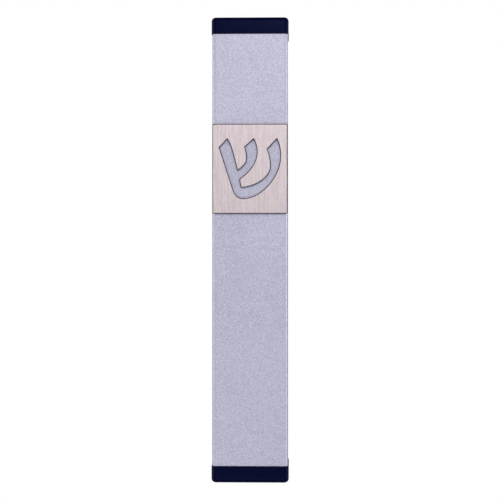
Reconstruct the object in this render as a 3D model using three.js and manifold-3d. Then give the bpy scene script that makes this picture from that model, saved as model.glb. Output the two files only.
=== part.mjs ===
// A wall-mounted mezuzah case: an extruded aluminium channel with a brushed front plate cut through
// with the letter shin, moulded plastic end caps, a back plate that stays on the doorpost, and the
// rolled parchment that the case exists to hold.
//
// Millimetres, +Z up. The origin is the centre of the mounting face, the wall is the plane y = 0,
// and the front faces -Y. The case slides up off the back plate, and both caps pull out of it.
// The length and depth of the case follow from the scroll inside it.

import * as THREE from "three";
import { mergeVertices } from "three/addons/utils/BufferGeometryUtils.js";
import Module from "manifold-3d";

const wasm = await Module();
wasm.setup();

// ---- driving dimensions ----

// Rolled parchment and its clear sleeve.
const parchmentWidth = 100; // its height once rolled
const parchmentLength = 100; // the length that is rolled up
const parchmentThickness = 0.3;
const layerGap = 0.26; // air between one turn and the next
const rollCoreRadius = 2.7; // the empty middle
const sleeveThickness = 0.25;
const sleeveClearance = 0.15; // sleeve to scroll
const sleeveExtraLength = 1.4; // longer than the scroll, both ends together
const cavityClearance = 0.35; // sleeve to the walls in front of and behind it
const seatGap = 0.2; // sleeve's foot to the lower cap
const headGap = 0.4; // sleeve's top to the upper cap

// Channel extrusion.
const caseWidth = 20;
const wallThickness = 1.2;
const frontCornerRadius = 1;
const rearCornerRadius = 0.5;
const innerCornerRadius = 0.4;
const lipThickness = 1.2; // the lips hold the back plate from behind
const lipReach = 2;
const ledgeThickness = 1; // the ledges keep it out of the cavity
const ledgeReach = 1.5;

// Back plate, a T-section whose edges run in the grooves between lip and ledge.
const plateEdgeThickness = 1.5;
const slideClearance = 0.1; // across the plate's thickness
const sideClearance = 0.15; // across its width
const landProud = 0.2; // how far the land stands out behind the lips
const screwEndDistance = 15; // case's end to the screw
const screwHoleRadius = 1.8;
const countersinkRadius = 3.6;

// Mounting tape, the only piece that touches the wall.
const tapeThickness = 0.8;
const tapeSideMargin = 0.65; // land's edge to the tape
const tapeHoleMargin = 10.2; // screw hole to the tape
const tapeCornerRadius = 1;

// End caps.
const flangeHeight = 4.4;
const flangeOverhang = 0.2; // past the channel, all round
const flangeCornerRadius = 1.3;
const flangeEdgeRadius = 1.1;
const roofThickness = 1.6; // left above the cored-out middle
const plugLength = 6;
const plugClearance = 0.7; // plug to channel, between the fins
const plugWall = 1.2;
const plugCornerRadius = 0.8;
const finClearance = 0.1; // fins to channel
const finThickness = 0.6;
const finCount = 3;
const capRibThickness = 1; // two ribs across the cored-out middle
const capRibOffset = 3.4;
const stopGap = 0.1; // top cap to the top of the back plate

// Front plate and the film that bonds it.
const frontPlateInset = 0.1; // case's side to the plate's
const frontPlateHeight = 23.6;
const frontPlateThickness = 1;
const frontPlateCornerRadius = 0.35;
const frontPlateDrop = 23.85; // case's top end to the plate's top edge
const filmThickness = 0.15;
const filmInset = 0.4;
const letterMargin = 1.9; // plate's side to the letter

// ---- places that follow from them ----

// The wound length is 2 pi times the sum of the turns' radii, which gives the number of turns.
const rollPitch = parchmentThickness + layerGap;
const innerTurnRadius = rollCoreRadius + parchmentThickness / 2;
const outerTurnRadius = Math.sqrt(innerTurnRadius ** 2 + (parchmentLength * rollPitch) / Math.PI);
const rollTurns = (outerTurnRadius - innerTurnRadius) / rollPitch;
const sleeveInnerRadius = outerTurnRadius + parchmentThickness / 2 + sleeveClearance;
const sleeveOuterRadius = sleeveInnerRadius + sleeveThickness;
const sleeveLength = parchmentWidth + sleeveExtraLength;

// Across the case, from the wall forwards.
const caseRearY = -tapeThickness - landProud;
const lipFrontY = caseRearY - lipThickness;
const backPlateEdgeY = lipFrontY - slideClearance;
const backPlateFrontY = backPlateEdgeY - plateEdgeThickness;
const grooveFrontY = backPlateFrontY - slideClearance;
const ledgeFrontY = grooveFrontY - ledgeThickness;
const rollMiddleY = backPlateFrontY - cavityClearance - sleeveOuterRadius;
const cavityFrontY = rollMiddleY - sleeveOuterRadius - cavityClearance;
const caseFrontY = cavityFrontY - wallThickness;
const filmFrontY = caseFrontY - filmThickness;

const caseHalfWidth = caseWidth / 2;
const cavityHalfWidth = caseHalfWidth - wallThickness;
const lipHalfGap = cavityHalfWidth - lipReach;
const ledgeHalfGap = cavityHalfWidth - ledgeReach;
const plateEdgeHalfWidth = cavityHalfWidth - sideClearance;
const landHalfWidth = lipHalfGap - sideClearance;

// Up the case.
const caseTopZ = plugLength + (seatGap + sleeveLength + headGap) / 2;
const caseBottomZ = -caseTopZ;
const sleeveBottomZ = caseBottomZ + plugLength + seatGap;
const screwZ = caseTopZ - screwEndDistance;
const frontPlateHalfWidth = caseHalfWidth - frontPlateInset;
const frontPlateMiddleZ = caseTopZ - frontPlateDrop - frontPlateHeight / 2;

// ---- helpers ----

const quarterTurn = Math.PI / 2;

// A rectangle from (x0, y0) to (x1, y1) with round corners, as a shape.
function roundedRectangle(x0, y0, x1, y1, radius) {
  return new THREE.Shape()
    .moveTo(x0 + radius, y0)
    .lineTo(x1 - radius, y0)
    .absarc(x1 - radius, y0 + radius, radius, -quarterTurn, 0)
    .lineTo(x1, y1 - radius)
    .absarc(x1 - radius, y1 - radius, radius, 0, quarterTurn)
    .lineTo(x0 + radius, y1)
    .absarc(x0 + radius, y1 - radius, radius, quarterTurn, 2 * quarterTurn)
    .lineTo(x0, y0 + radius)
    .absarc(x0 + radius, y0 + radius, radius, 2 * quarterTurn, 3 * quarterTurn);
}

// A shape that is the same on both sides of x = 0, from its right half.
function mirroredShape(rightHalf, divisions = 4) {
  const right = rightHalf.getPoints(divisions);
  const left = right.map((point) => new THREE.Vector2(-point.x, point.y)).reverse();
  return new THREE.Shape([...right, ...left]);
}

// A straight extrusion of a plan outline, from height z0 to z1.
function extrudeUp(shape, z0, z1, curveSegments = 4) {
  const options = { depth: z1 - z0, bevelEnabled: false, curveSegments };
  return new THREE.ExtrudeGeometry(shape, options).translate(0, 0, z0);
}

// A sheet drawn in the front view (x, z), with its rear face at rearY.
function extrudeForward(shape, rearY, thickness) {
  const options = { depth: thickness, bevelEnabled: false, curveSegments: 4 };
  return new THREE.ExtrudeGeometry(shape, options).rotateX(quarterTurn).translate(0, rearY, 0);
}

function toSolid(geometry) {
  const bare = geometry.clone();
  bare.deleteAttribute("normal");
  bare.deleteAttribute("uv");
  const merged = mergeVertices(bare, 1e-4);
  return new wasm.Manifold(
    new wasm.Mesh({
      numProp: 3,
      vertProperties: merged.attributes.position.array,
      triVerts: new Uint32Array(merged.index.array),
    }),
  );
}

function toGeometry(solid) {
  const mesh = solid.getMesh();
  const geometry = new THREE.BufferGeometry();
  geometry.setAttribute("position", new THREE.BufferAttribute(mesh.vertProperties, 3));
  geometry.setIndex(new THREE.BufferAttribute(mesh.triVerts, 1));
  geometry.computeVertexNormals();
  return geometry;
}

// ---- channel extrusion ----

// The right half: round the outside, then in past the lip, the groove and the ledge to the cavity.
function caseExtrusion() {
  const front = frontCornerRadius;
  const rear = rearCornerRadius;
  const inner = innerCornerRadius;
  const rightHalf = new THREE.Path()
    .moveTo(caseHalfWidth - front, caseFrontY)
    .absarc(caseHalfWidth - front, caseFrontY + front, front, -quarterTurn, 0)
    .absarc(caseHalfWidth - rear, caseRearY - rear, rear, 0, quarterTurn)
    .lineTo(lipHalfGap, caseRearY)
    .lineTo(lipHalfGap, lipFrontY)
    .lineTo(cavityHalfWidth, lipFrontY)
    .lineTo(cavityHalfWidth, grooveFrontY)
    .lineTo(ledgeHalfGap, grooveFrontY)
    .lineTo(ledgeHalfGap, ledgeFrontY)
    .lineTo(cavityHalfWidth, ledgeFrontY)
    .absarc(cavityHalfWidth - inner, cavityFrontY + inner, inner, 0, -quarterTurn, true);
  return extrudeUp(mirroredShape(rightHalf), caseBottomZ, caseTopZ);
}

// ---- back plate and tape ----

// The T-section: edges that run in the grooves, and a land behind them between the lips.
function teeSection(edgeHalfWidth, stemHalfWidth, frontY, edgeY, rearY) {
  const rightHalf = new THREE.Path()
    .moveTo(edgeHalfWidth, frontY)
    .lineTo(edgeHalfWidth, edgeY)
    .lineTo(stemHalfWidth, edgeY)
    .lineTo(stemHalfWidth, rearY);
  return mirroredShape(rightHalf);
}

// A through hole along Y, with its countersink open towards the cavity, where the screw goes in.
function screwHole(z) {
  const depth = -tapeThickness - backPlateFrontY;
  const sinkDepth = countersinkRadius - screwHoleRadius;
  const past = 1;
  const profile = [
    new THREE.Vector2(0, -past),
    new THREE.Vector2(screwHoleRadius, -past),
    new THREE.Vector2(screwHoleRadius, depth - sinkDepth),
    new THREE.Vector2(countersinkRadius, depth),
    new THREE.Vector2(countersinkRadius, depth + past),
    new THREE.Vector2(0, depth + past),
  ];
  return new THREE.LatheGeometry(profile, 32).rotateX(Math.PI).translate(0, -tapeThickness, z);
}

function backPlate() {
  const section = teeSection(
    plateEdgeHalfWidth,
    landHalfWidth,
    backPlateFrontY,
    backPlateEdgeY,
    -tapeThickness,
  );
  const plate = toSolid(extrudeUp(section, caseBottomZ, caseTopZ - stopGap));
  const holes = toSolid(screwHole(screwZ)).add(toSolid(screwHole(-screwZ)));
  return toGeometry(plate.subtract(holes));
}

function mountingTape() {
  const halfWidth = landHalfWidth - tapeSideMargin;
  const halfLength = screwZ - screwHoleRadius - tapeHoleMargin;
  const outline = roundedRectangle(-halfWidth, -halfLength, halfWidth, halfLength, tapeCornerRadius);
  return extrudeForward(outline, 0, tapeThickness);
}

// ---- end caps ----

// The channel's cavity in front of the ledges, drawn in by gap all round.
function plugOutline(gap, radius) {
  return roundedRectangle(
    -cavityHalfWidth + gap,
    cavityFrontY + gap,
    cavityHalfWidth - gap,
    ledgeFrontY - gap,
    radius,
  );
}

// The flange, rounded at its outer edges, standing on the channel's end at height 0.
function flangeSolid() {
  const halfWidth = caseHalfWidth + flangeOverhang;
  const frontY = caseFrontY - flangeOverhang;
  const rearY = caseRearY + flangeOverhang;
  const outline = roundedRectangle(-halfWidth, frontY, halfWidth, rearY, flangeCornerRadius);
  const block = new THREE.ExtrudeGeometry(outline, {
    depth: 2 * (flangeHeight - flangeEdgeRadius),
    bevelThickness: flangeEdgeRadius,
    bevelSize: flangeEdgeRadius,
    bevelOffset: -flangeEdgeRadius,
    bevelSegments: 5,
    curveSegments: 3,
  }).translate(0, 0, flangeEdgeRadius - flangeHeight);
  const lowerHalf = new THREE.BoxGeometry(4 * halfWidth, 4 * halfWidth, 2 * flangeHeight)
    .translate(0, (frontY + rearY) / 2, -flangeHeight);
  return toSolid(block).subtract(toSolid(lowerHalf));
}

// Drawn as the top cap: the flange, and below it the finned plug, cored out but for two ribs.
function capSolid() {
  const joinDepth = 0.5; // how far the plug runs up into the flange before the two are joined
  let solid = flangeSolid().add(
    toSolid(extrudeUp(plugOutline(plugClearance, plugCornerRadius), -plugLength, joinDepth)),
  );
  const finPitch = plugLength / (finCount + 0.5);
  for (let i = 1; i <= finCount; i++) {
    const fin = extrudeUp(
      plugOutline(finClearance, plugCornerRadius),
      -i * finPitch,
      -i * finPitch + finThickness,
    );
    solid = solid.add(toSolid(fin));
  }
  const coreOutline = plugOutline(plugClearance + plugWall, innerCornerRadius);
  const past = 1;
  let core = toSolid(extrudeUp(coreOutline, -plugLength - past, flangeHeight - roofThickness));
  for (const side of [-1, 1]) {
    const rib = new THREE.BoxGeometry(capRibThickness, 2 * sleeveOuterRadius, 4 * plugLength)
      .translate(side * capRibOffset, rollMiddleY, 0);
    core = core.subtract(toSolid(rib));
  }
  return solid.subtract(core);
}

function topCap() {
  return toGeometry(capSolid()).translate(0, 0, caseTopZ);
}

// The same moulding turned over, with the channel's own tee cut through it to pass the back plate.
function bottomCap() {
  const turned = toSolid(toGeometry(capSolid()).rotateY(Math.PI));
  const past = 1;
  const tee = teeSection(cavityHalfWidth, lipHalfGap, grooveFrontY, lipFrontY, caseRearY + past);
  const cut = turned.subtract(toSolid(extrudeUp(tee, -flangeHeight - past, past)));
  return toGeometry(cut).translate(0, 0, caseBottomZ);
}

// ---- front plate ----

// The letter shin as one outline, in units of its height: 0 at its foot, 1 at its three tips. The
// left stroke leans down to the foot, the right stroke sweeps round into it, and the middle stroke
// joins the left one half way up. Each stroke ends in a slanted cut.
const letterLeft = -0.506;
const letterRight = 0.523;

function letterPath() {
  return new THREE.Path()
    .moveTo(-0.376, 1)
    .lineTo(letterLeft, 0.86)
    .lineTo(-0.28, 0.16)
    .bezierCurveTo(-0.245, 0.05, -0.19, 0, -0.1, 0)
    .bezierCurveTo(0.18, 0, letterRight, 0.35, letterRight, 0.72)
    .bezierCurveTo(letterRight, 0.83, 0.5, 0.93, 0.462, 1)
    .lineTo(0.305, 0.832)
    .bezierCurveTo(0.345, 0.73, 0.361, 0.63, 0.361, 0.54)
    .bezierCurveTo(0.361, 0.34, 0.06, 0.175, -0.148, 0.183)
    .lineTo(-0.173, 0.328)
    .bezierCurveTo(-0.02, 0.425, 0.125, 0.6, 0.125, 0.78)
    .bezierCurveTo(0.125, 0.86, 0.105, 0.95, 0.069, 1)
    .lineTo(-0.074, 0.87)
    .bezierCurveTo(-0.05, 0.79, -0.042, 0.74, -0.042, 0.68)
    .bezierCurveTo(-0.042, 0.59, -0.11, 0.53, -0.199, 0.468)
    .bezierCurveTo(-0.255, 0.62, -0.285, 0.87, -0.376, 1);
}

// The letter in the middle of the plate, as wide as the plate less a margin on each side.
function letterHole() {
  const scale = (2 * (frontPlateHalfWidth - letterMargin)) / (letterRight - letterLeft);
  const middleX = (letterRight + letterLeft) / 2;
  const points = letterPath().getPoints(12).slice(0, -1);
  return new THREE.Path(
    points.map((point) =>
      new THREE.Vector2((point.x - middleX) * scale, (point.y - 0.5) * scale + frontPlateMiddleZ),
    ),
  );
}

// The front plate's outline drawn in by inset, with the letter cut out.
function letteredOutline(inset) {
  const halfWidth = frontPlateHalfWidth - inset;
  const halfHeight = frontPlateHeight / 2 - inset;
  const outline = roundedRectangle(
    -halfWidth,
    frontPlateMiddleZ - halfHeight,
    halfWidth,
    frontPlateMiddleZ + halfHeight,
    frontPlateCornerRadius,
  );
  outline.holes.push(letterHole());
  return outline;
}

function plateAdhesive() {
  return extrudeForward(letteredOutline(filmInset), caseFrontY, filmThickness);
}

function shinPlate() {
  return extrudeForward(letteredOutline(0), filmFrontY, frontPlateThickness);
}

// ---- rolled parchment and sleeve ----

// One sheet wound inwards: its outer face, then back along its inner face.
function parchmentScroll() {
  const steps = Math.ceil(28 * rollTurns);
  const outerFace = [];
  const innerFace = [];
  for (let i = 0; i <= steps; i++) {
    const turns = (i / steps) * rollTurns;
    const radius = outerTurnRadius - turns * rollPitch;
    const angle = 2 * Math.PI * turns;
    const pointAt = (r) => new THREE.Vector2(r * Math.cos(angle), rollMiddleY + r * Math.sin(angle));
    outerFace.push(pointAt(radius + parchmentThickness / 2));
    innerFace.push(pointAt(radius - parchmentThickness / 2));
  }
  const bottomZ = sleeveBottomZ + sleeveExtraLength / 2;
  const outline = new THREE.Shape([...outerFace, ...innerFace.reverse()]);
  return extrudeUp(outline, bottomZ, bottomZ + parchmentWidth);
}

function scrollSleeve() {
  const ring = new THREE.Shape().absarc(0, rollMiddleY, sleeveOuterRadius, 0, 2 * Math.PI);
  ring.holes.push(new THREE.Path().absarc(0, rollMiddleY, sleeveInnerRadius, 0, 2 * Math.PI, true));
  return extrudeUp(ring, sleeveBottomZ, sleeveBottomZ + sleeveLength, 20);
}

// ---- materials ----

const finish = (color, roughness, metalness) =>
  new THREE.MeshStandardMaterial({ color, roughness, metalness });

const satinAluminium = finish(0xbdbbcd, 0.5, 0.85);
const brushedMetal = finish(0xd6c9cc, 0.35, 0.95);
const navyPlastic = finish(0x0c1026, 0.3, 0);
const blackPlastic = finish(0x17181c, 0.5, 0);
const parchment = finish(0xe6d9bb, 0.75, 0);
const adhesiveFilm = finish(0xe9e6df, 0.6, 0);
const foamTape = finish(0xf2f1ec, 0.9, 0);
const clearPlastic = new THREE.MeshStandardMaterial({
  color: 0xf4f8fb,
  roughness: 0.08,
  metalness: 0,
  transparent: true,
  opacity: 0.35,
});

// ---- the assembly ----

const mezuzahCase = new THREE.Group();

function addPart(name, geometry, material) {
  const mesh = new THREE.Mesh(geometry, material);
  mesh.name = name;
  mezuzahCase.add(mesh);
}

addPart("mounting_tape", mountingTape(), foamTape);
addPart("back_plate", backPlate(), blackPlastic);
addPart("case_extrusion", caseExtrusion(), satinAluminium);
addPart("plate_adhesive", plateAdhesive(), adhesiveFilm);
addPart("shin_plate", shinPlate(), brushedMetal);
addPart("top_cap", topCap(), navyPlastic);
addPart("bottom_cap", bottomCap(), navyPlastic);
addPart("parchment_scroll", parchmentScroll(), parchment);
addPart("scroll_sleeve", scrollSleeve(), clearPlastic);

export default mezuzahCase;
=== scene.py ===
import math

import bmesh
import bpy
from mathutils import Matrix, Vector
from mathutils.geometry import interpolate_bezier


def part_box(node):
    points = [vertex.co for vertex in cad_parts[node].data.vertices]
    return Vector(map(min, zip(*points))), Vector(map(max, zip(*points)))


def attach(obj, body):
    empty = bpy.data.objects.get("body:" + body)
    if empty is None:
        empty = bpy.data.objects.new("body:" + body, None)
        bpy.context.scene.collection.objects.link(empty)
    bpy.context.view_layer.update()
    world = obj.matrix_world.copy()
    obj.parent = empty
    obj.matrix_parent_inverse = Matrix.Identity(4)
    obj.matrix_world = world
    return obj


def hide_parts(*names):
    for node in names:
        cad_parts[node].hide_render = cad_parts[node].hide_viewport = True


# The mezuzah case, in metres: +Z up, the front faces -Y, and the doorpost is the plane y = 0.
mm = 0.001
mergeGap = 0.002 * mm  # points closer than this are one
circlePull = 0.5523  # a quarter circle's handles, as a share of its radius

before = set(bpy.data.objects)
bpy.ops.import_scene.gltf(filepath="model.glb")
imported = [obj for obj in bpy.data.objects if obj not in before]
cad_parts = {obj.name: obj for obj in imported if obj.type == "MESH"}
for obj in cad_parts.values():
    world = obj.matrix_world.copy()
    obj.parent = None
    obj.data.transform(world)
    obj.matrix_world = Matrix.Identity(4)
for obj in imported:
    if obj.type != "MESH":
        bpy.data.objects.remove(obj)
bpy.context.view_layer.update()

caseLow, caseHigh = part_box("case_extrusion")
topLow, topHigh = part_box("top_cap")
bottomLow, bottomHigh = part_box("bottom_cap")
plateLow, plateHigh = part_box("shin_plate")
backLow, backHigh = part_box("back_plate")
tapeLow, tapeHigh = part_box("mounting_tape")
scrollLow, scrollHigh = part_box("parchment_scroll")
sleeveLow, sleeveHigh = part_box("scroll_sleeve")
rollMiddle = (sleeveLow + sleeveHigh) / 2


class Wire:
    # one output of a node tree, which takes part in arithmetic
    def __init__(self, tree, socket=None):
        self.tree = tree
        self.socket = socket

    def node(self, kind, inputs=None, output=0, **settings):
        made = self.tree.nodes.new(kind)
        for name, value in settings.items():
            setattr(made, name, value)
        for name, value in (inputs or {}).items():
            if isinstance(value, Wire):
                self.tree.links.new(value.socket, made.inputs[name])
            else:
                made.inputs[name].default_value = value
        return Wire(self.tree, made.outputs[output])

    def math(self, operation, *others):
        return self.node("ShaderNodeMath", dict(enumerate((self, *others))), operation=operation)

    def __add__(self, other):
        return self.math("ADD", other)

    def __sub__(self, other):
        return self.math("SUBTRACT", other)

    def __rsub__(self, other):
        return self.node("ShaderNodeMath", {0: other, 1: self}, operation="SUBTRACT")

    def __mul__(self, other):
        return self.math("MULTIPLY", other)

    def __truediv__(self, other):
        return self.math("DIVIDE", other)

    __radd__ = __add__
    __rmul__ = __mul__

    def fade(self, start, end):
        # 0 at start, 1 at end, smooth between; start may be the larger
        inputs = {"Value": self, "From Min": start, "From Max": end}
        return self.node("ShaderNodeMapRange", inputs, interpolation_type="SMOOTHSTEP")

    def mix(self, first, second):
        # first where this wire is 0, second where it is 1; 6 and 7 are the node's colour sockets
        return self.node("ShaderNodeMix", {0: self, 6: first, 7: second}, output=2, data_type="RGBA")


def noise(place, scale, detail=2.0, roughness=0.5, stretch=(1, 1, 1)):
    if stretch != (1, 1, 1):
        place = place.node("ShaderNodeMapping", {"Vector": place, "Scale": stretch})
    inputs = {"Vector": place, "Scale": scale, "Detail": detail, "Roughness": roughness}
    return place.node("ShaderNodeTexNoise", inputs)


def cells(place, scale):
    return place.node("ShaderNodeTexVoronoi", {"Vector": place, "Scale": scale})


def axis(place, name):
    return place.node("ShaderNodeSeparateXYZ", {"Vector": place}, output=name)


def startMaterial(name, **fixed):
    # a new material, its object coordinates and its shader; fixed numbers go on the shader itself
    material = bpy.data.materials.new(name)
    material.use_nodes = True
    tree = material.node_tree
    shader = tree.nodes["Principled BSDF"]
    for socket, value in fixed.items():
        shader.inputs[socket.replace("_", " ")].default_value = value
    place = Wire(tree).node("ShaderNodeTexCoord", output="Object")
    return material, place, shader


def feed(shader, socket, wire):
    wire.tree.links.new(wire.socket, shader.inputs[socket])


def feedBump(shader, height, depth):
    feed(shader, "Normal", height.node("ShaderNodeBump", {"Height": height, "Distance": depth}))


# bead-blasted, clear-anodised aluminium: a fine even grain with a faint cloudiness
satinAluminium = {
    "pale": (0.795, 0.785, 0.93, 1),
    "deep": (0.405, 0.40, 0.495, 1),
    "roughness": 0.47,
    "beadScale": 2900,
    "grainScale": 9000,
    "cloudScale": 55,
    "beadDepth": 0.012 * mm,
}


def makeAluminium(look):
    material, place, shader = startMaterial("satin aluminium", Metallic=1.0)
    bead = noise(place, look["beadScale"], 4, 0.75)
    grain = noise(place, look["grainScale"], 1)
    cloud = noise(place, look["cloudScale"], 3, 0.6)
    tone = bead * 0.65 + grain * 0.25 + cloud * 0.1
    feed(shader, "Base Color", tone.fade(0.3, 0.7).mix(look["deep"], look["pale"]))
    feed(shader, "Roughness", bead * 0.08 + cloud * 0.04 + look["roughness"])
    feedBump(shader, bead + grain * 0.5, look["beadDepth"])
    return material


# warm satin metal brushed upright, with painted shade on its rounded edges (near black) and on its cut
# walls (dark)
brushedMetal = {
    "pale": (0.80, 0.70, 0.68, 1),
    "palePink": (0.785, 0.68, 0.74, 1),
    "deep": (0.59, 0.51, 0.525, 1),
    # painted shade: the near-black rim draws a dark outline round the plate and round the letter's
    # opening
    "rim": (0.03, 0.024, 0.045, 1),
    # the cut walls, duller than the faces and darkened further as painted shade that deepens the shade
    # under the plate and in the letter
    "wall": (0.42, 0.37, 0.40, 1),
    "roughness": 0.34,
    "streakScale": 4600,
    "hairScale": 9500,
    "mottleScale": 2600,
    "streakStretch": (1, 1, 0.035),
    "warmthStretch": (1, 1, 0.1),
    "mottleStretch": (1, 1, 0.7),
    "streakDepth": 0.006 * mm,
    "edgeRound": 0.24 * mm,  # the plate's rounded edge, which the dark rim covers
}


def makeBrushed(look):
    material, place, shader = startMaterial("brushed metal", Metallic=1.0)
    streak = noise(place, look["streakScale"], 3, 0.65, look["streakStretch"])
    hair = noise(place, look["hairScale"], 1, 0.5, look["streakStretch"])
    mottle = noise(place, look["mottleScale"], 2, 0.6, look["mottleStretch"])
    tone = streak * 0.5 + hair * 0.25 + mottle * 0.25
    warmth = noise(place, look["mottleScale"], 1, 0.5, look["warmthStretch"]).fade(0.4, 0.62)
    pale = warmth.mix(look["pale"], look["palePink"])
    face = tone.fade(0.35, 0.65).mix(look["deep"], pale)
    # 1 on the flat faces, falling to 0 where the rounded edge meets the wall
    depth = axis(place, "Y")
    fromFace = (depth - plateLow.y).math("MINIMUM", plateHigh.y - depth)
    flatness = 1 - fromFace / look["edgeRound"]
    # painted shade: the rounded edges and the walls take the dark rim and wall colours in place of the
    # brushed face, and are rougher
    edgeShadeMask = flatness.fade(0.99, 0.93)
    edge = flatness.fade(0.0, 0.25).mix(look["wall"], look["rim"])
    feed(shader, "Base Color", edgeShadeMask.mix(face, edge))
    feed(shader, "Roughness", tone * 0.16 + edgeShadeMask * 0.2 + look["roughness"])
    feedBump(shader, streak + hair * 0.6, look["streakDepth"])
    return material


# blue-black moulded plastic, semi-gloss with a faint orange peel
navyPlastic = {
    "base": (0.0002, 0.0009, 0.0200, 1),
    "worn": (0.0010, 0.0022, 0.029, 1),
    "glint": (0.4, 0.5, 1.0, 1),
    "glintLevel": 0.1,
    "roughness": 0.17,
    "peelScale": 620,
    "fleckScale": 5200,
    "cloudScale": 90,
    "peelDepth": 0.006 * mm,
}


def makeMoulded(look):
    material, place, shader = startMaterial(
        "navy plastic", Specular_IOR_Level=look["glintLevel"], Specular_Tint=look["glint"]
    )
    peel = noise(place, look["peelScale"])
    fleck = noise(place, look["fleckScale"], 2, 0.6)
    cloud = noise(place, look["cloudScale"], 3, 0.6)
    tone = fleck * 0.6 + cloud * 0.4
    feed(shader, "Base Color", tone.fade(0.4, 0.75).mix(look["base"], look["worn"]))
    feed(shader, "Roughness", fleck * 0.1 + cloud * 0.08 + look["roughness"])
    feedBump(shader, peel + fleck * 0.12, look["peelDepth"])
    return material


# black extruded plastic with lines along its length
blackPlastic = {
    "base": (0.013, 0.013, 0.015, 1),
    "worn": (0.028, 0.028, 0.031, 1),
    "roughness": 0.42,
    "lineScale": 2400,
    "lineStretch": (1, 1, 0.01),
    "mottleScale": 900,
    "lineDepth": 0.02 * mm,
}


def makeExtruded(look):
    material, place, shader = startMaterial("black plastic")
    line = noise(place, look["lineScale"], 2, 0.6, look["lineStretch"])
    mottle = noise(place, look["mottleScale"], 3, 0.6)
    tone = line * 0.6 + mottle * 0.4
    feed(shader, "Base Color", tone.fade(0.35, 0.7).mix(look["base"], look["worn"]))
    feed(shader, "Roughness", line * 0.2 + look["roughness"])
    feedBump(shader, line + mottle * 0.3, look["lineDepth"])
    return material


# white closed-cell foam between two skins of glue
foamTape = {
    "foam": (0.88, 0.88, 0.86, 1),
    "pore": (0.70, 0.70, 0.67, 1),
    "glue": (0.92, 0.90, 0.83, 1),
    "glueDeep": (0.80, 0.78, 0.70, 1),
    "bubbleScale": 1100,
    "poreScale": 3200,
    "mottleScale": 500,
    "skin": 0.07 * mm,
    "poreDepth": 0.03 * mm,
}


def makeFoam(look):
    material, place, shader = startMaterial("foam tape")
    pore = cells(place, look["poreScale"])
    bubble = cells(place, look["bubbleScale"])
    mottle = noise(place, look["mottleScale"], 3, 0.6)
    foamColour = (pore * 0.7 + mottle * 0.3).fade(0.2, 0.6).mix(look["pore"], look["foam"])
    glueColour = (mottle * 0.6 + bubble * 0.6).fade(0.25, 0.75).mix(look["glueDeep"], look["glue"])
    depth = axis(place, "Y")
    outer, inner = look["skin"] * 0.6, look["skin"]
    rear = depth.fade(tapeHigh.y - inner, tapeHigh.y - outer)
    front = depth.fade(tapeLow.y + inner, tapeLow.y + outer)
    glue = rear.math("MAXIMUM", front)
    feed(shader, "Base Color", glue.mix(foamColour, glueColour))
    feed(shader, "Roughness", 0.9 - glue * 0.45 + mottle * 0.06)
    feedBump(shader, pore * (1 - glue) + mottle * 0.4 + bubble * glue * 0.5, look["poreDepth"])
    return material


# thin milky glue film with a faint mottle
glueFilm = {
    "clear": (0.80, 0.79, 0.74, 1),
    "milky": (0.66, 0.65, 0.60, 1),
    "roughness": 0.35,
    "mottleScale": 1400,
    "mottleDepth": 0.01 * mm,
}


def makeGlueFilm(look):
    material, place, shader = startMaterial("adhesive film")
    mottle = noise(place, look["mottleScale"], 3, 0.6)
    feed(shader, "Base Color", mottle.fade(0.35, 0.7).mix(look["clear"], look["milky"]))
    feed(shader, "Roughness", mottle * 0.2 + look["roughness"])
    feedBump(shader, mottle, look["mottleDepth"])
    return material


# scraped parchment: cream skin, darker in follicles and along its ruled creases
parchmentSkin = {
    "pale": (0.79, 0.69, 0.50, 1),
    "deep": (0.61, 0.48, 0.29, 1),
    "roughness": 0.58,
    "glow": 0.08,
    "glowReach": (0.6 * mm, 0.4 * mm, 0.2 * mm),
    "cloudScale": 110,
    "follicleScale": 2600,
    "fibreScale": 900,
    "rulePitch": 4.3 * mm,
    "ruleWidth": 0.16 * mm,
    "skinDepth": 0.05 * mm,
}


def makeParchment(look):
    material, place, shader = startMaterial(
        "parchment", Subsurface_Weight=look["glow"], Subsurface_Radius=look["glowReach"]
    )
    cloud = noise(place, look["cloudScale"], 4, 0.65)
    fibre = noise(place, look["fibreScale"], 4, 0.65)
    spot = noise(place, look["follicleScale"], 1, 0.4).fade(0.6, 0.72)
    turn = axis(place, "Z") / look["rulePitch"]
    fromRule = (turn.math("FRACT") - 0.5).math("ABSOLUTE")
    rule = fromRule.fade(look["ruleWidth"] / look["rulePitch"] / 2, 0.0)
    tone = cloud * 0.55 + fibre * 0.45
    plain = tone.fade(0.36, 0.66).mix(look["pale"], look["deep"])
    marks = (spot * 0.45).math("MAXIMUM", rule * 0.35)
    feed(shader, "Base Color", marks.mix(plain, look["deep"]))
    feed(shader, "Roughness", fibre * 0.2 + look["roughness"])
    feedBump(shader, fibre * 0.6 + cloud * 0.4 - spot * 0.3 - rule * 1.2, look["skinDepth"])
    return material


# clear film with fine scuffs
clearFilm = {
    "tint": (0.95, 0.97, 0.98, 1),
    "scuff": (0.86, 0.89, 0.91, 1),
    "bending": 1.46,
    "roughness": 0.06,
    "cover": 0.16,
    "scuffScale": 1900,
    "scuffStretch": (1, 1, 0.08),
    "scuffDepth": 0.01 * mm,
}


def makeClearFilm(look):
    material, place, shader = startMaterial("clear film", IOR=look["bending"])
    scuff = noise(place, look["scuffScale"], 4, 0.7, look["scuffStretch"])
    haze = scuff.fade(0.5, 0.72)
    feed(shader, "Base Color", haze.mix(look["tint"], look["scuff"]))
    feed(shader, "Roughness", haze * 0.3 + look["roughness"])
    feed(shader, "Alpha", haze * 0.2 + look["cover"])
    feedBump(shader, scuff, look["scuffDepth"])
    return material


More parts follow.
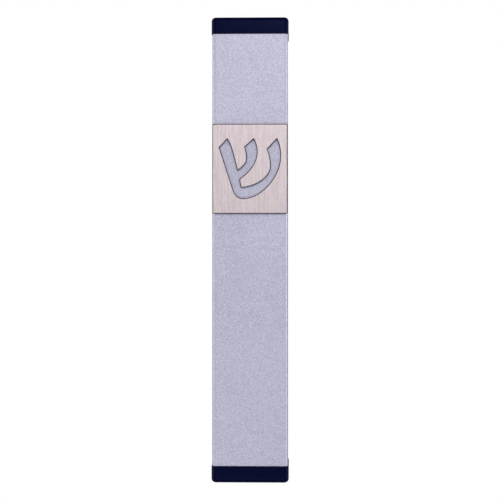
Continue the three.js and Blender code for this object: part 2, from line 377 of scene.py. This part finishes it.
aluminium = makeAluminium(satinAluminium)
brushed = makeBrushed(brushedMetal)
navy = makeMoulded(navyPlastic)
black = makeExtruded(blackPlastic)
foam = makeFoam(foamTape)
film = makeGlueFilm(glueFilm)
skin = makeParchment(parchmentSkin)
clear = makeClearFilm(clearFilm)
print("finishes ready")


def selectOnly(piece):
    bpy.ops.object.select_all(action="DESELECT")
    piece.select_set(True)
    bpy.context.view_layer.objects.active = piece


def applyPlace(piece):
    selectOnly(piece)
    bpy.ops.object.transform_apply(location=True, rotation=True, scale=True)


def addObject(name, operator, **settings):
    # runs an operator that adds something, with nothing else selected
    bpy.ops.object.select_all(action="DESELECT")
    operator(**settings)
    made = bpy.context.object
    made.name = made.data.name = name
    return made


def addMesh(name, operator, **settings):
    piece = addObject(name, operator, **settings)
    applyPlace(piece)
    return piece


def addBox(name, low, high):
    low, high = Vector(low), Vector(high)
    return addMesh(
        name, bpy.ops.mesh.primitive_cube_add, size=1, location=(low + high) / 2, scale=high - low
    )


def beginEdit(piece, kind="FACE", select="SELECT"):
    selectOnly(piece)
    bpy.ops.object.mode_set(mode="EDIT")
    bpy.ops.mesh.select_mode(type=kind)
    bpy.ops.mesh.select_all(action=select)


def endEdit():
    bpy.ops.object.mode_set(mode="OBJECT")


def editFaces(piece, wanted):
    # enters edit mode with the faces selected whose middle and normal pass the test
    beginEdit(piece, "FACE", "DESELECT")
    cage = bmesh.from_edit_mesh(piece.data)
    for face in cage.faces:
        if wanted(face.calc_center_median(), face.normal):
            face.select_set(True)
    bmesh.update_edit_mesh(piece.data)


def editEdges(piece, wanted):
    # enters edit mode with the edges selected whose middle and direction pass the test
    beginEdit(piece, "EDGE", "DESELECT")
    cage = bmesh.from_edit_mesh(piece.data)
    for edge in cage.edges:
        start, end = (vert.co for vert in edge.verts)
        if wanted((start + end) / 2, (end - start).normalized()):
            edge.select_set(True)
    bmesh.update_edit_mesh(piece.data)


def near(a, b, slack=0.02 * mm):
    return abs(a - b) < slack


def upright(middle, way):
    return abs(way.z) > 0.9


def uprightAt(x, y):
    # the upright edges at this place, on the left and on the right
    return lambda middle, way: upright(middle, way) and near(abs(middle.x), x) and near(middle.y, y)


def bevelEdges(piece, wanted, width, segments):
    editEdges(piece, wanted)
    bpy.ops.mesh.bevel(offset=width, segments=segments, affect="EDGES", clamp_overlap=False)
    endEdit()


def splitAcross(piece, point, normal):
    # cuts the faces along a plane and keeps both sides
    beginEdit(piece)
    bpy.ops.mesh.bisect(plane_co=point, plane_no=normal)
    endEdit()


def useModifier(piece, kind, **settings):
    selectOnly(piece)
    bpy.ops.object.modifier_add(type=kind)
    modifier = piece.modifiers[-1]
    for name, value in settings.items():
        setattr(modifier, name, value)
    bpy.ops.object.modifier_apply(modifier=modifier.name)


def combine(piece, tool, operation):
    # joins two closed pieces or cuts one from the other, and removes the tool
    useModifier(piece, "BOOLEAN", operation=operation, solver="EXACT", object=tool)
    bpy.data.objects.remove(tool)


def softenEdges(piece, width, angle=40):
    limit = math.radians(angle)
    useModifier(piece, "BEVEL", width=width, segments=2, limit_method="ANGLE", angle_limit=limit)


def drawSection(name, start, steps):
    # half a section, walked vertex by vertex from the middle line, mirrored to the left and filled
    piece = addMesh(name, bpy.ops.mesh.primitive_plane_add, size=mm, location=start)
    beginEdit(piece, "VERT")
    bpy.ops.mesh.merge(type="CENTER")
    for step in steps:
        bpy.ops.mesh.extrude_region_move(TRANSFORM_OT_translate={"value": step})
    endEdit()
    useModifier(piece, "MIRROR", merge_threshold=mergeGap)
    beginEdit(piece, "VERT")
    bpy.ops.mesh.remove_doubles(threshold=mergeGap)
    bpy.ops.mesh.edge_face_add()
    bpy.ops.mesh.dissolve_limited(angle_limit=math.radians(0.5))
    endEdit()
    return piece


def pullUp(piece, height):
    # extrudes a flat section upwards into a closed bar
    beginEdit(piece)
    bpy.ops.mesh.extrude_region_move(TRANSFORM_OT_translate={"value": (0, 0, height)})
    bpy.ops.mesh.select_all(action="SELECT")
    bpy.ops.mesh.normals_make_consistent(inside=False)
    endEdit()


def finishPiece(piece, material, body, node, angle=35):
    # smooth shading that keeps the flats flat, then the finish and the body it rides on
    beginEdit(piece)
    bpy.ops.mesh.remove_doubles(threshold=mergeGap)
    endEdit()
    bpy.ops.object.shade_smooth_by_angle(angle=math.radians(angle))
    useModifier(piece, "WEIGHTED_NORMAL", keep_sharp=True, weight=80)
    # faces of more than four sides are split evenly here, and not by whatever opens the file
    useModifier(piece, "TRIANGULATE", min_vertices=5, ngon_method="BEAUTY", keep_custom_normals=True)
    piece.data.materials.clear()
    piece.data.materials.append(material)
    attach(piece, body)
    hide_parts(node)


# The channel: an extrusion with an open rear, whose lips and ledges hold the back plate.
channel = {
    "wall": 1.2 * mm,
    "frontCorner": 1.0 * mm,
    "rearCorner": 0.5 * mm,
    "innerCorner": 0.4 * mm,
    "lipReach": 2.0 * mm,
    "lipThickness": 1.2 * mm,
    "groove": 1.7 * mm,
    "ledgeReach": 1.5 * mm,
    "ledgeThickness": 1.0 * mm,
    "dieRadius": 0.2 * mm,
    "endChamfer": 0.12 * mm,  # less than any rounded corner, or the end face would cross itself
}

# what the channel's section gives to the pieces that fit it
insideX = caseHigh.x - channel["wall"]
insideFrontY = caseLow.y + channel["wall"]
lipX = insideX - channel["lipReach"]
lipFrontY = caseHigh.y - channel["lipThickness"]
ledgeX = insideX - channel["ledgeReach"]
ledgeRearY = lipFrontY - channel["groove"]
ledgeFrontY = ledgeRearY - channel["ledgeThickness"]


def makeChannel(size):
    depth = caseHigh.y - caseLow.y
    steps = [
        (caseHigh.x, 0, 0),
        (0, depth, 0),
        (-(size["wall"] + size["lipReach"]), 0, 0),
        (0, -size["lipThickness"], 0),
        (size["lipReach"], 0, 0),
        (0, -size["groove"], 0),
        (-size["ledgeReach"], 0, 0),
        (0, -size["ledgeThickness"], 0),
        (size["ledgeReach"], 0, 0),
        (0, insideFrontY - ledgeFrontY, 0),
        (-insideX, 0, 0),
    ]
    piece = drawSection("case_body", (0, caseLow.y, caseLow.z), steps)
    pullUp(piece, caseHigh.z - caseLow.z)
    bevelEdges(piece, uprightAt(caseHigh.x, caseLow.y), size["frontCorner"], segments=8)
    bevelEdges(piece, uprightAt(caseHigh.x, caseHigh.y), size["rearCorner"], segments=5)
    bevelEdges(piece, uprightAt(insideX, insideFrontY), size["innerCorner"], segments=4)
    for nose in ((lipX, caseHigh.y), (lipX, lipFrontY), (ledgeX, ledgeRearY), (ledgeX, ledgeFrontY)):
        bevelEdges(piece, uprightAt(*nose), size["dieRadius"], segments=3)
    for z in (caseLow.z, caseHigh.z):
        bevelEdges(
            piece,
            lambda middle, way: near(middle.z, z) and abs(way.z) < 0.1,
            size["endChamfer"],
            segments=2,
        )
    finishPiece(piece, aluminium, "case", "case_extrusion")
    return piece


caseBody = makeChannel(channel)
print("channel", len(caseBody.data.polygons), "faces")


# The letter's outline in units of its height: each knot with its handle in and its handle out.
# A handle on the knot itself is the end of a straight cut.
shinKnots = [
    ((-0.376, 1), (-0.285, 0.87), (-0.376, 1)),
    ((-0.506, 0.86), (-0.506, 0.86), (-0.506, 0.86)),
    ((-0.28, 0.16), (-0.28, 0.16), (-0.245, 0.05)),
    ((-0.1, 0), (-0.19, 0), (0.18, 0)),
    ((0.523, 0.72), (0.523, 0.35), (0.523, 0.83)),
    ((0.462, 1), (0.5, 0.93), (0.462, 1)),
    ((0.305, 0.832), (0.305, 0.832), (0.345, 0.73)),
    ((0.361, 0.54), (0.361, 0.63), (0.361, 0.34)),
    ((-0.148, 0.183), (0.06, 0.175), (-0.148, 0.183)),
    ((-0.173, 0.328), (-0.173, 0.328), (-0.02, 0.425)),
    ((0.125, 0.78), (0.125, 0.6), (0.125, 0.86)),
    ((0.069, 1), (0.105, 0.95), (0.069, 1)),
    ((-0.074, 0.87), (-0.074, 0.87), (-0.05, 0.79)),
    ((-0.042, 0.68), (-0.042, 0.74), (-0.042, 0.59)),
    ((-0.199, 0.468), (-0.11, 0.53), (-0.255, 0.62)),
]

frontPlate = {
    "cornerRadius": 0.35 * mm,
    "letterMargin": 1.9 * mm,
    "edgeRound": brushedMetal["edgeRound"],
    "edgeSegments": 2,
    "curveSteps": 14,
    "cornerClear": 0.34 * mm,
}


def roundedKnots(halfWidth, halfHeight, radius):
    # a rectangle's eight knots, with the usual handles for a quarter circle
    pull = circlePull * radius
    knots = []
    for sx, sz in ((1, -1), (1, 1), (-1, 1), (-1, -1)):
        x, z = sx * halfWidth, sz * halfHeight
        onSide = ((x, z - sz * radius), (x, z - sz * (radius - pull)))
        onEnd = ((x - sx * radius, z), (x - sx * (radius - pull), z))
        (first, firstOut), (second, secondIn) = (onSide, onEnd) if sx * sz > 0 else (onEnd, onSide)
        knots.append((first, first, firstOut))
        knots.append((second, secondIn, second))
    return knots


def addOutline(curve, knots, steps, clear, scale=1, shiftX=0, shiftY=0):
    # a closed line through the knots: straight cuts get no points between their ends, and no point
    # comes nearer than clear to a sharp corner, where the rounded edge would cross itself
    def place(x, y):
        return Vector((x * scale + shiftX, y * scale + shiftY, 0))

    knots = [[place(*point) for point in knot] for knot in knots]
    sharp = [knot for knot, handleIn, handleOut in knots if knot in (handleIn, handleOut)]
    points = []
    for (start, _, handleOut), (end, handleIn, _) in zip(knots, knots[1:] + knots[:1]):
        points.append(start)
        if handleOut != start or handleIn != end:
            for point in interpolate_bezier(start, handleOut, handleIn, end, steps + 1)[1:-1]:
                if all((point - corner).length > clear for corner in sharp):
                    points.append(point)
    line = curve.splines.new("POLY")
    line.points.add(len(points) - 1)
    line.use_cyclic_u = True
    for made, point in zip(line.points, points):
        made.co = (*point, 1)


def makeFrontPlate(size):
    # a flat curve with the letter as its hole, given its thickness and rounded edges
    middle = (plateLow + plateHigh) / 2
    halfWidth = plateHigh.x
    piece = addObject(
        "lettered_plate", bpy.ops.curve.primitive_bezier_circle_add, radius=mm, location=middle
    )
    curve = piece.data
    curve.splines.remove(curve.splines[0])
    outer = roundedKnots(halfWidth, (plateHigh.z - plateLow.z) / 2, size["cornerRadius"])
    addOutline(curve, outer, size["curveSteps"], 0)
    letterXs = [knot[0][0] for knot in shinKnots]
    left, right = min(letterXs), max(letterXs)
    scale = 2 * (halfWidth - size["letterMargin"]) / (right - left)
    centre = -scale * (left + right) / 2
    addOutline(curve, shinKnots, size["curveSteps"], size["cornerClear"], scale, centre, -scale / 2)
    curve.dimensions = "2D"
    curve.fill_mode = "BOTH"
    curve.bevel_depth = size["edgeRound"]
    curve.bevel_resolution = size["edgeSegments"]
    curve.offset = -size["edgeRound"]
    curve.extrude = (plateHigh.y - plateLow.y) / 2 - size["edgeRound"]
    piece.rotation_euler = (math.pi / 2, 0, 0)
    selectOnly(piece)
    bpy.ops.object.convert(target="MESH")
    applyPlace(piece)
    beginEdit(piece)
    bpy.ops.mesh.remove_doubles(threshold=mergeGap)
    bpy.ops.mesh.normals_make_consistent(inside=False)
    endEdit()
    editFaces(piece, lambda middle, normal: abs(normal.y) > 0.999)
    bpy.ops.mesh.dissolve_limited(angle_limit=math.radians(0.1))
    endEdit()
    finishPiece(piece, brushed, "case", "shin_plate")
    return piece


letteredPlate = makeFrontPlate(frontPlate)
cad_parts["plate_adhesive"].data.materials.clear()
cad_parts["plate_adhesive"].data.materials.append(film)
print("front plate", len(letteredPlate.data.polygons), "faces")


# Both caps are one moulding; the bottom one also has a slot that passes the back plate.
cap = {
    "corner": 1.3 * mm,
    "edge": 1.1 * mm,
    "overlap": 0.5 * mm,
    "plugGap": 0.7 * mm,
    "plugCorner": 0.8 * mm,
    "plugWall": 1.2 * mm,
    "pocketCorner": 0.4 * mm,
    "finThickness": 0.6 * mm,
    "finGap": 0.1 * mm,
    "finCount": 3,
    "roof": 1.6 * mm,
    "rib": 1.0 * mm,
    "ribOffset": 3.4 * mm,
    "gate": 0.7 * mm,
    "pin": 0.9 * mm,
    "markDepth": 0.12 * mm,
    "cutPast": 1.0 * mm,
    "soft": 0.09 * mm,
}


def addPlug(size, seat, plugZ, up):
    # the part that presses into the channel, with fins round it
    gap = size["plugGap"]
    joinZ = seat + up * size["overlap"]
    plug = addBox(
        "plug",
        (-insideX + gap, insideFrontY + gap, min(plugZ, joinZ)),
        (insideX - gap, ledgeFrontY - gap, max(plugZ, joinZ)),
    )
    bevelEdges(plug, upright, size["plugCorner"], segments=5)
    pitch = abs(seat - plugZ) / (size["finCount"] + 0.5)
    feet = [seat - up * i * pitch for i in range(1, size["finCount"] + 1)]
    bands = [sorted((foot, foot + up * size["finThickness"])) for foot in feet]
    for band in bands:
        for z in band:
            splitAcross(plug, (0, 0, z), (0, 0, 1))
    for low, high in bands:
        editFaces(plug, lambda middle, normal: abs(normal.z) < 0.1 and low < middle.z < high)
        bpy.ops.mesh.extrude_region_shrink_fatten(
            TRANSFORM_OT_shrink_fatten={"value": gap - size["finGap"], "use_even_offset": True}
        )
        endEdit()
    return plug


def makeCap(name, low, high, up, size, body):
    # up is 1 for the top cap and -1 for the bottom one; seat is the channel's end that it stands on
    seat, outerZ, plugZ = (caseHigh.z, high.z, low.z) if up > 0 else (caseLow.z, low.z, high.z)
    piece = addBox(name, (low.x, low.y, min(seat, outerZ)), (high.x, high.y, max(seat, outerZ)))
    bevelEdges(piece, upright, size["corner"], segments=8)
    bevelEdges(piece, lambda middle, way: near(middle.z, outerZ), size["edge"], segments=8)
    combine(piece, addPlug(size, seat, plugZ, up), "UNION")

    # three pockets from the plug's end, which leave its wall and two ribs between them
    wall = size["plugGap"] + size["plugWall"]
    pocketX = insideX - wall
    roofZ = outerZ - up * size["roof"]
    pocketZs = sorted((plugZ - up * size["cutPast"], roofZ))
    ribLow, ribHigh = size["ribOffset"] - size["rib"] / 2, size["ribOffset"] + size["rib"] / 2
    for x0, x1 in ((-pocketX, -ribHigh), (-ribLow, ribLow), (ribHigh, pocketX)):
        corners = (x0, insideFrontY + wall, pocketZs[0]), (x1, ledgeFrontY - wall, pocketZs[1])
        pocket = addBox("pocket", *corners)
        bevelEdges(pocket, upright, size["pocketCorner"], segments=3)
        combine(piece, pocket, "DIFFERENCE")

    # the gate's stub in the middle pocket and an ejector pin's mark in each outer one
    middleY = (insideFrontY + ledgeFrontY) / 2
    sideX = (ribHigh + pocketX) / 2
    marks = (
        (0, size["gate"], "UNION"),
        (-sideX, size["pin"], "DIFFERENCE"),
        (sideX, size["pin"], "DIFFERENCE"),
    )
    for x, radius, operation in marks:
        mark = addMesh(
            "mark",
            bpy.ops.mesh.primitive_cylinder_add,
            vertices=32,
            radius=radius,
            depth=2 * size["markDepth"],
            location=(x, middleY, roofZ),
        )
        combine(piece, mark, operation)

    if up < 0:
        # the slot that passes the back plate, the same tee as the channel's
        past, overlap = size["cutPast"], size["overlap"]
        for halfWidth, y0, y1 in ((insideX, ledgeRearY, lipFrontY), (lipX, lipFrontY - overlap, past)):
            slot = addBox("slot", (-halfWidth, y0, low.z - past), (halfWidth, y1, seat + overlap / 2))
            combine(piece, slot, "DIFFERENCE")
    softenEdges(piece, size["soft"])
    finishPiece(piece, navy, body, body)
    return piece


topCap = makeCap("top_end_cap", topLow, topHigh, 1, cap, "top_cap")
bottomCap = makeCap("bottom_end_cap", bottomLow, bottomHigh, -1, cap, "bottom_cap")
print("caps", len(topCap.data.polygons), len(bottomCap.data.polygons), "faces")


backStrip = {
    "edge": 1.5 * mm,
    "sideGap": 0.15 * mm,
    "screwInset": 15 * mm,
    "hole": 1.8 * mm,
    "sink": 3.6 * mm,
    "drillPast": 0.5 * mm,
    "edgeRound": 0.15 * mm,
    "drillLine": 0.3 * mm,
}


def addDrill(size, z):
    # a drill with a conical shoulder: its front end is pulled out past the face and widened
    past = size["drillPast"]
    sinkDepth = size["sink"] - size["hole"]
    shoulderY = backLow.y + sinkDepth
    endY = backHigh.y + past
    drill = addMesh(
        "drill",
        bpy.ops.mesh.primitive_cylinder_add,
        vertices=64,
        radius=size["hole"],
        depth=endY - shoulderY,
        location=(0, (shoulderY + endY) / 2, z),
        rotation=(math.pi / 2, 0, 0),
    )
    editFaces(drill, lambda middle, normal: normal.y < -0.9)
    bpy.ops.mesh.extrude_region_move(TRANSFORM_OT_translate={"value": (0, -sinkDepth - past, 0)})
    widen = (size["sink"] + past) / size["hole"]
    bpy.ops.transform.resize(value=(widen, 1, widen), center_override=(0, backLow.y - past, z))
    endEdit()
    return drill


def makeBackPlate(size):
    landX = lipX - size["sideGap"]
    line = size["drillLine"]
    steps = [
        (line, -line, 0),
        (backHigh.x - line, 0, 0),
        (0, size["edge"], 0),
        (landX - backHigh.x, 0, 0),
        (0, backHigh.y - backLow.y - size["edge"], 0),
        (-landX, 0, 0),
    ]
    piece = drawSection("back_strip", (0, backLow.y + line, backLow.z), steps)
    pullUp(piece, backHigh.z - backLow.z)
    stepY = backLow.y + size["edge"]
    for corner in ((backHigh.x, backLow.y), (backHigh.x, stepY), (landX, backHigh.y)):
        bevelEdges(piece, uprightAt(*corner), size["edgeRound"], segments=3)
    screwZ = caseHigh.z - size["screwInset"]
    for z in (screwZ, -screwZ):
        combine(piece, addDrill(size, z), "DIFFERENCE")
    finishPiece(piece, black, "wall_plate", "back_plate")
    return piece


foamStrip = {"corner": 1.0 * mm, "bulge": 0.12 * mm}


def makeTape(size):
    # a strip whose middle layer swells out between its two skins
    bulge = Vector((size["bulge"], 0, size["bulge"]))
    piece = addBox("foam_tape", tapeLow + bulge, tapeHigh - bulge)
    bevelEdges(piece, lambda middle, way: abs(way.y) > 0.9, size["corner"], segments=6)
    third = (tapeHigh.y - tapeLow.y) / 3
    for y in (tapeLow.y + third, tapeHigh.y - third):
        splitAcross(piece, (0, y, 0), (0, 1, 0))
    middleY = (tapeLow.y + tapeHigh.y) / 2
    editFaces(piece, lambda middle, normal: near(middle.y, middleY) and abs(normal.y) < 0.1)
    bpy.ops.transform.shrink_fatten(value=size["bulge"], use_even_offset=True)
    endEdit()
    finishPiece(piece, foam, "wall_plate", "mounting_tape", angle=60)
    return piece


backPlate = makeBackPlate(backStrip)
tape = makeTape(foamStrip)
print("back plate and tape", len(backPlate.data.polygons), len(tape.data.polygons), "faces")


scroll = {
    "thickness": 0.3 * mm,
    "layerGap": 0.26 * mm,
    "coreRadius": 2.7 * mm,
    "turns": 4,
    "stepsPerTurn": 40,
    "rings": 24,
    "creep": 0.5 * mm,
    "creepWave": 3.1,
    "creepStart": 0.8,
    "soft": 0.05 * mm,
}


def makeScroll(size):
    # one skin wound inwards, its inner turns creeping a little out of line at the ends
    wound = size["turns"] * (size["thickness"] + size["layerGap"])
    outer = size["coreRadius"] + size["thickness"] / 2 + wound
    bottom = scrollLow.z + size["creep"]
    height = scrollHigh.z - scrollLow.z - 2 * size["creep"]
    piece = addObject(
        "parchment_roll", bpy.ops.curve.primitive_nurbs_path_add, radius=mm, location=(0, 0, 0)
    )
    piece.data.splines.remove(piece.data.splines[0])
    spiral = piece.data.splines.new("POLY")
    spiral.points.add(size["turns"] * size["stepsPerTurn"])
    for i, point in enumerate(spiral.points):
        turns = i / size["stepsPerTurn"]
        radius = outer - wound * turns / size["turns"]
        angle = 2 * math.pi * turns
        point.co = (radius * math.cos(angle), rollMiddle.y + radius * math.sin(angle), bottom, 1)
    selectOnly(piece)
    bpy.ops.object.convert(target="MESH")
    beginEdit(piece, "EDGE")
    for _ in range(size["rings"]):
        step = (0, 0, height / size["rings"])
        bpy.ops.mesh.extrude_region_move(TRANSFORM_OT_translate={"value": step})
    endEdit()
    for vert in piece.data.vertices:
        inward = (outer - math.hypot(vert.co.x, vert.co.y - rollMiddle.y)) / wound
        wave = math.sin(size["creepWave"] * inward + size["creepStart"])
        vert.co.z += size["creep"] * inward * wave
    useModifier(piece, "SOLIDIFY", thickness=size["thickness"], offset=0, use_even_offset=True)
    beginEdit(piece)
    bpy.ops.mesh.normals_make_consistent(inside=False)
    endEdit()
    softenEdges(piece, size["soft"], angle=60)
    finishPiece(piece, skin, "scroll", "parchment_scroll", angle=50)
    return piece


sleeve = {"wall": 0.25 * mm, "seamWidth": 1.6 * mm, "seamProud": 0.1 * mm, "rim": 0.06 * mm, "sides": 96}


def makeSleeve(size):
    piece = addMesh(
        "clear_sleeve",
        bpy.ops.mesh.primitive_cylinder_add,
        vertices=size["sides"],
        radius=sleeveHigh.x,
        depth=sleeveHigh.z - sleeveLow.z,
        end_fill_type="NOTHING",
        location=rollMiddle,
    )
    useModifier(piece, "SOLIDIFY", thickness=size["wall"], offset=-1)

    def onSeam(middle, normal):
        return normal.x > 0.5 and middle.x > 0 and abs(middle.y - rollMiddle.y) < size["seamWidth"] / 2

    # the welded seam, a raised strip down the right-hand side
    editFaces(piece, onSeam)
    bpy.ops.mesh.extrude_region_shrink_fatten(TRANSFORM_OT_shrink_fatten={"value": size["seamProud"]})
    endEdit()
    softenEdges(piece, size["rim"], angle=50)
    finishPiece(piece, clear, "scroll", "scroll_sleeve", angle=30)
    return piece


parchmentRoll = makeScroll(scroll)
clearSleeve = makeSleeve(sleeve)
print("scroll and sleeve", len(parchmentRoll.data.polygons), len(clearSleeve.data.polygons), "faces")


white = (1, 1, 1, 1)

studio = {
    "floorDrop": 0.46,
    "floorRadius": 0.60,
    "floorPale": (0.89, 0.89, 0.89, 1),
    "floorDeep": (0.86, 0.86, 0.86, 1),
    "floorFade": (0.2, 0.9),  # where the floor turns to plain white, as shares of its radius
    "cameraDistance": 0.400,
    "cameraTurn": 1.5,
    "viewWidth": 0.13167,
    "sensor": 36.0,
    "nearest": 0.01,
    "behind": 0.15,
    "around": 0.53,
    "aheadFade": (-0.8, 0.3),
    "above": -0.15,
    "riseFade": (-0.4, 0.8),
    "band": 0.55,
    "bandEdge": 0.12,
    "tint": (0.97, 0.975, 1.0, 1),
}

# name: turn and height seen from the case in degrees, distance, width, height, brightness, colour
softboxes = {
    "key": (6, 22, 0.55, 0.12, 0.08, 11.0, (1.0, 0.99, 0.99)),
    "fill": (-5, -25, 0.55, 0.12, 0.08, 5.0, (0.92, 0.95, 1.0)),
    "left strip": (-75, 5, 0.5, 0.10, 0.50, 3.4, (0.96, 0.97, 1.0)),
    "right strip": (75, 5, 0.5, 0.10, 0.50, 4.0, (0.93, 0.94, 1.0)),
    "rear left": (-148, 18, 0.5, 0.16, 0.16, 4.5, (1.0, 0.99, 0.97)),
    "rear right": (148, 18, 0.5, 0.16, 0.16, 4.5, (1.0, 0.99, 0.97)),
}


def lookFrom(thing, away):
    # turns a lamp or camera that stands this far away so that it looks back
    thing.rotation_euler = (-away).to_track_quat("-Z", "Y").to_euler()


def makeFloor(look):
    # a pale disc well below the case, which fades into the white surround as the camera sees it
    material, place, shader = startMaterial("pale floor", Roughness=0.8)
    mottle = noise(place, 14, 3, 0.6)
    feed(shader, "Base Color", mottle.mix(look["floorDeep"], look["floorPale"]))
    flat = place.node("ShaderNodeVectorMath", {0: place, 1: (1, 1, 0)}, operation="MULTIPLY")
    reach = place.node("ShaderNodeVectorMath", {0: flat}, output="Value", operation="LENGTH")
    seen = place.node("ShaderNodeLightPath", output="Is Camera Ray")
    glow = place.node("ShaderNodeEmission", {"Color": white, "Strength": 1.0})
    start, end = (share * look["floorRadius"] for share in look["floorFade"])
    faded = (reach.fade(start, end) * 0.5 + 0.5) * seen
    plain = Wire(place.tree, shader.outputs["BSDF"])
    both = place.node("ShaderNodeMixShader", {0: faded, 1: plain, 2: glow})
    place.tree.links.new(both.socket, place.tree.nodes["Material Output"].inputs["Surface"])
    floor = addMesh(
        "floor",
        bpy.ops.mesh.primitive_circle_add,
        vertices=128,
        radius=look["floorRadius"],
        fill_type="NGON",
        location=(0, 0, -look["floorDrop"]),
    )
    floor.data.materials.append(material)


def addSoftbox(name, turn, rise, distance, width, height, brightness, colour):
    turn, rise = math.radians(turn), math.radians(rise)
    away = Vector((math.sin(turn) * math.cos(rise), -math.cos(turn) * math.cos(rise), math.sin(rise)))
    lamp = addObject(name, bpy.ops.object.light_add, type="AREA", location=away * distance)
    lookFrom(lamp, away)
    lamp.data.shape = "RECTANGLE"
    lamp.data.size = width
    lamp.data.size_y = height
    lamp.data.energy = brightness * math.pi * width * height
    lamp.data.color = colour
    lamp.visible_camera = False


def makeWorld(look):
    # white behind the object; what lights it is pale, brightest level with it and dimmer behind
    world = bpy.data.worlds.new("studio")
    world.use_nodes = True
    bpy.context.scene.world = world
    tree = world.node_tree
    tree.nodes.clear()
    way = Wire(tree).node("ShaderNodeTexCoord", output="Generated")
    ahead = axis(way, "Y") * -1.0
    rise = axis(way, "Z")
    level = ahead.fade(*look["aheadFade"]) * (look["around"] - look["behind"]) + look["behind"]
    level = level + rise.fade(*look["riseFade"]) * look["above"]
    level = level * ((rise * rise).fade(look["bandEdge"], 0.0) * look["band"] + 1)
    lit = way.node("ShaderNodeBackground", {"Color": look["tint"], "Strength": level})
    plain = way.node("ShaderNodeBackground", {"Color": white, "Strength": 1.0})
    seen = way.node("ShaderNodeLightPath", output="Is Camera Ray")
    both = way.node("ShaderNodeMixShader", {0: seen, 1: lit, 2: plain})
    out = tree.nodes.new("ShaderNodeOutputWorld")
    tree.links.new(both.socket, out.inputs["Surface"])


def makeCamera(look):
    turn = math.radians(look["cameraTurn"])
    aim = Vector((0, topLow.y, 0))
    away = Vector((math.sin(turn), -math.cos(turn), 0)) * look["cameraDistance"]
    camera = addObject("camera", bpy.ops.object.camera_add, location=aim + away)
    lookFrom(camera, away)
    camera.data.sensor_width = look["sensor"]
    camera.data.lens = look["sensor"] * look["cameraDistance"] / look["viewWidth"]
    camera.data.clip_start = look["nearest"]
    bpy.context.scene.camera = camera


makeFloor(studio)
makeWorld(studio)
for name, setting in softboxes.items():
    addSoftbox(name, *setting)
makeCamera(studio)
bpy.context.scene.view_settings.view_transform = "Standard"
print("stage ready")
